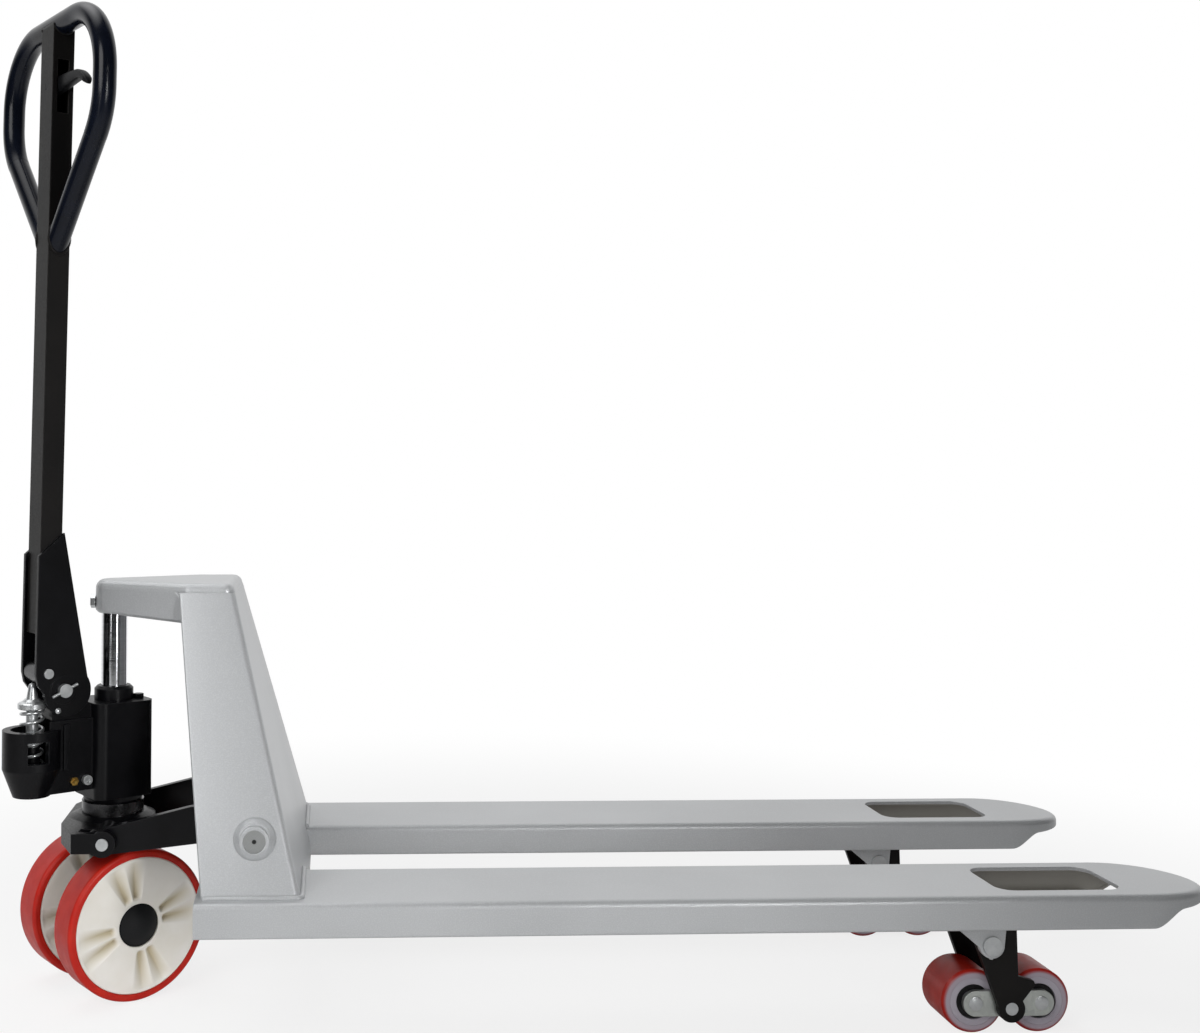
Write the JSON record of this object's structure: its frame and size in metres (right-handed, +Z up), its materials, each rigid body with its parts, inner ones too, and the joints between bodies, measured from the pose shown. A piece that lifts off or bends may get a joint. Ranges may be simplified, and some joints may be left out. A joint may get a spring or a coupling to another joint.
{
  "type": "pallet jack",
  "caption": "Hand pallet truck with steel forks, tandem load rollers, a hydraulic pump over twin steering wheels and an upright pole with a loop handle.",
  "frame": {"origin": "middle of the bounding box on the floor, with the forks raised", "axes": "+X from the handle towards the fork tips, +Y to the truck's left, +Z up"},
  "size_m": [1.5985, 0.525, 1.3203],
  "materials": {
    "frame_paint": "satin silver grey paint",
    "black_paint": "gloss black paint",
    "zinc_steel": "zinc plated steel",
    "chrome_steel": "hard chrome plating",
    "red_polyurethane": "moulded red polyurethane",
    "ivory_nylon": "ivory moulded nylon",
    "grey_nylon": "pale grey moulded nylon",
    "black_plastic": "black moulded plastic",
    "plain_brass": "turned brass"
  },
  "bodies": {
    "frame": {"right_fork": "frame_paint", "left_fork": "frame_paint", "right_side_plate": "frame_paint", "left_side_plate": "frame_paint", "front_plate": "frame_paint", "head": "frame_paint", "shaft_bosses": "frame_paint", "rocker_shaft": "zinc_steel", "leg_lugs": "frame_paint", "leg_pins": "zinc_steel", "roll_pins": "zinc_steel", "ram": "chrome_steel", "clamp_bolt": "zinc_steel"},
    "push_rods": {"right_push_rod": "black_paint", "left_push_rod": "black_paint"},
    "rocker": {"rocker": "black_paint", "rocker_bushes": "zinc_steel", "rod_pins": "zinc_steel"},
    "seat": {"pump_seat": "black_paint", "seat_pins": "zinc_steel", "thrust_bearing": "zinc_steel"},
    "steer": {"pump_body": "black_paint", "gland": "black_paint", "filler_plug": "black_paint", "release_screw": "zinc_steel", "release_nut": "plain_brass", "wheel_axle": "zinc_steel"},
    "right_wheel": {"right_wheel_tyre": "red_polyurethane", "right_wheel_hub": "ivory_nylon", "right_wheel_cap": "black_plastic", "right_wheel_bearings": "zinc_steel"},
    "left_wheel": {"left_wheel_tyre": "red_polyurethane", "left_wheel_hub": "ivory_nylon", "left_wheel_cap": "black_plastic", "left_wheel_bearings": "zinc_steel"},
    "plunger": {"plunger": "zinc_steel", "spring_cap": "zinc_steel", "plunger_spring": "zinc_steel"},
    "handle": {"handle_bracket": "black_paint", "pole": "black_paint", "handle_loop": "black_paint", "pivot_pin": "zinc_steel", "split_pin": "zinc_steel", "roller_pin": "zinc_steel"},
    "press_roller": {"press_roller": "zinc_steel"},
    "control_lever": {"control_lever": "black_plastic"},
    "control_rod": {"control_rod": "zinc_steel"},
    "legs": {"right_leg": "black_paint", "left_leg": "black_paint", "leg_cross_pins": "zinc_steel"},
    "right_bogie": {"right_bogie": "zinc_steel"},
    "left_bogie": {"left_bogie": "zinc_steel"},
    "right_rear_roller": {"right_rear_tyre": "red_polyurethane", "right_rear_hub": "grey_nylon"},
    "right_front_roller": {"right_front_tyre": "red_polyurethane", "right_front_hub": "grey_nylon"},
    "left_rear_roller": {"left_rear_tyre": "red_polyurethane", "left_rear_hub": "grey_nylon"},
    "left_front_roller": {"left_front_tyre": "red_polyurethane", "left_front_hub": "grey_nylon"}
  },
  "joints": [
    {"name": "lift", "type": "slide", "parent": "frame", "child": "seat", "axis": [0, 0, 1], "range_m": [-0.01, 0.098]},
    {"name": "rocker_swing", "type": "hinge", "parent": "frame", "child": "rocker", "pos_m": [-0.41884, 0, 0.251], "axis": [0, 1, 0], "range_deg": [-3.2, 27.4]},
    {"name": "push_rod_slide", "type": "slide", "parent": "frame", "child": "push_rods", "axis": [1, 0, 0], "range_m": [-0.0449, 0.0049]},
    {"name": "leg_swing", "type": "hinge", "parent": "frame", "child": "legs", "pos_m": [0.50216, 0, 0.118], "axis": [0, -1, 0], "range_deg": [-8.8, 82.3]},
    {"name": "right_bogie_level", "type": "hinge", "parent": "legs", "child": "right_bogie", "pos_m": [0.53116, -0.185, 0.036], "axis": [0, -1, 0], "range_deg": [-82.3, 8.8]},
    {"name": "left_bogie_level", "type": "hinge", "parent": "legs", "child": "left_bogie", "pos_m": [0.53116, 0.185, 0.036], "axis": [0, -1, 0], "range_deg": [-82.3, 8.8]},
    {"name": "steering", "type": "hinge", "parent": "seat", "child": "steer", "pos_m": [-0.62484, 0, 0.23], "axis": [0, 0, 1], "range_deg": [-119, 51]},
    {"name": "right_wheel_spin", "type": "hinge", "parent": "steer", "child": "right_wheel", "pos_m": [-0.59241, -0.04808, 0.1], "axis": [0.5592, -0.829, 0], "continuous": true},
    {"name": "left_wheel_spin", "type": "hinge", "parent": "steer", "child": "left_wheel", "pos_m": [-0.65727, 0.04808, 0.1], "axis": [0.5592, -0.829, 0], "continuous": true},
    {"name": "handle_tilt", "type": "hinge", "parent": "steer", "child": "handle", "pos_m": [-0.69531, -0.04753, 0.413], "axis": [0.5592, -0.829, 0], "range_deg": [0, 70], "stiffness_Nm_per_rad": 26, "springref_deg": -34.38},
    {"name": "plunger_stroke", "type": "slide", "parent": "steer", "child": "plunger", "axis": [0, 0, -1], "range_m": [0, 0.039], "deforming": ["plunger_spring"]},
    {"name": "press_roller_spin", "type": "hinge", "parent": "handle", "child": "press_roller", "pos_m": [-0.71321, -0.05961, 0.43638], "axis": [0.5592, -0.829, 0], "continuous": true},
    {"name": "lever_rock", "type": "hinge", "parent": "handle", "child": "control_lever", "pos_m": [-0.70021, -0.05084, 1.22036], "axis": [-0.8289, -0.5591, 0.0175], "range_deg": [-10, 10]},
    {"name": "control_rod_slide", "type": "slide", "parent": "handle", "child": "control_rod", "axis": [-0.0145, -0.0098, -0.9998], "range_m": [-0.0018, 0.0018]},
    {"name": "right_rear_spin", "type": "hinge", "parent": "right_bogie", "child": "right_rear_roller", "pos_m": [0.48866, -0.185, 0.04], "axis": [0, 1, 0], "continuous": true},
    {"name": "right_front_spin", "type": "hinge", "parent": "right_bogie", "child": "right_front_roller", "pos_m": [0.57366, -0.185, 0.04], "axis": [0, 1, 0], "continuous": true},
    {"name": "left_rear_spin", "type": "hinge", "parent": "left_bogie", "child": "left_rear_roller", "pos_m": [0.48866, 0.185, 0.04], "axis": [0, 1, 0], "continuous": true},
    {"name": "left_front_spin", "type": "hinge", "parent": "left_bogie", "child": "left_front_roller", "pos_m": [0.57366, 0.185, 0.04], "axis": [0, 1, 0], "continuous": true}
  ],
  "couplings": [
    {"joint": "rocker_swing", "follows": "lift", "rad_per_m": 4.8032},
    {"joint": "push_rod_slide", "follows": "lift", "ratio": -0.452},
    {"joint": "leg_swing", "follows": "lift", "rad_per_m": 14.533},
    {"joint": "right_bogie_level", "follows": "lift", "rad_per_m": -14.533},
    {"joint": "left_bogie_level", "follows": "lift", "rad_per_m": -14.533},
    {"joint": "plunger_stroke", "follows": "handle_tilt", "m_per_rad": 0.0315},
    {"joint": "control_rod_slide", "follows": "lever_rock", "m_per_rad": 0.009}
  ]
}
